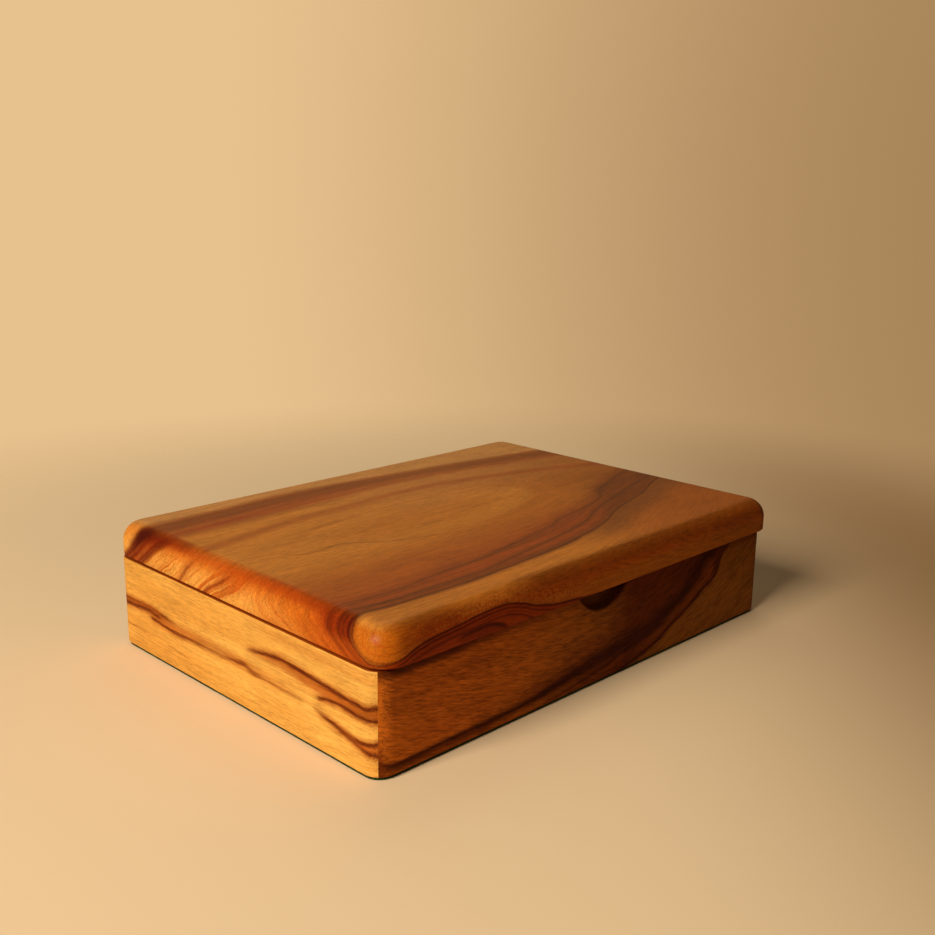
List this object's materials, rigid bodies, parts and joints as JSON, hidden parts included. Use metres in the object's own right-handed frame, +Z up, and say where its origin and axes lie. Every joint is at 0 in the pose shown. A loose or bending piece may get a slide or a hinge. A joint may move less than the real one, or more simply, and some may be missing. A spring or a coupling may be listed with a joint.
{
  "type": "hinged wooden box",
  "caption": "Low rectangular box of solid figured hardwood with a thick rounded lid hinged at the back, a scooped finger pull under the front edge and a felt base.",
  "frame": {"origin": "on the surface that the box stands on, under the middle of the closed lid", "axes": "+X along the front to the right, +Y from the finger pull to the hinged back, +Z up"},
  "size_m": [0.302, 0.2206, 0.0702],
  "materials": {
    "lid_wood": "oiled and waxed figured hardwood, satin",
    "front_wood": "oiled and waxed figured hardwood, satin",
    "back_wood": "oiled and waxed figured hardwood, satin",
    "left_end_wood": "oiled and waxed golden hardwood with dark streaks, satin",
    "right_end_wood": "oiled and waxed golden hardwood with dark streaks, satin",
    "spline_wood": "plain hardwood, glued and hidden",
    "bottom_ply": "birch plywood, plain",
    "base_felt": "dark green pressed felt",
    "lining_felt": "dark green pressed felt",
    "buffer_felt": "brown felt dots",
    "hinge_brass": "drawn brass, lightly polished",
    "screw_brass": "turned brass, slotted"
  },
  "bodies": {
    "box": {"front_board": "front_wood", "back_board": "back_wood", "left_end_board": "left_end_wood", "right_end_board": "right_end_wood", "bottom_panel": "bottom_ply", "base_felt": "base_felt", "floor_lining": "lining_felt", "lid_buffers": "buffer_felt", "front_left_spline": "spline_wood", "front_right_spline": "spline_wood", "back_left_spline": "spline_wood", "back_right_spline": "spline_wood", "left_hinge_box_leaf": "hinge_brass", "left_hinge_pin": "hinge_brass", "left_hinge_box_screws": "screw_brass", "right_hinge_box_leaf": "hinge_brass", "right_hinge_pin": "hinge_brass", "right_hinge_box_screws": "screw_brass"},
    "lid": {"lid_panel": "lid_wood", "left_hinge_lid_leaf": "hinge_brass", "left_hinge_lid_screws": "screw_brass", "right_hinge_lid_leaf": "hinge_brass", "right_hinge_lid_screws": "screw_brass"}
  },
  "joints": [
    {"name": "lid_hinge", "type": "hinge", "parent": "box", "child": "lid", "pos_m": [0, 0.10705, 0.0513], "axis": [-1, 0, 0], "range_deg": [0, 95]}
  ]
}
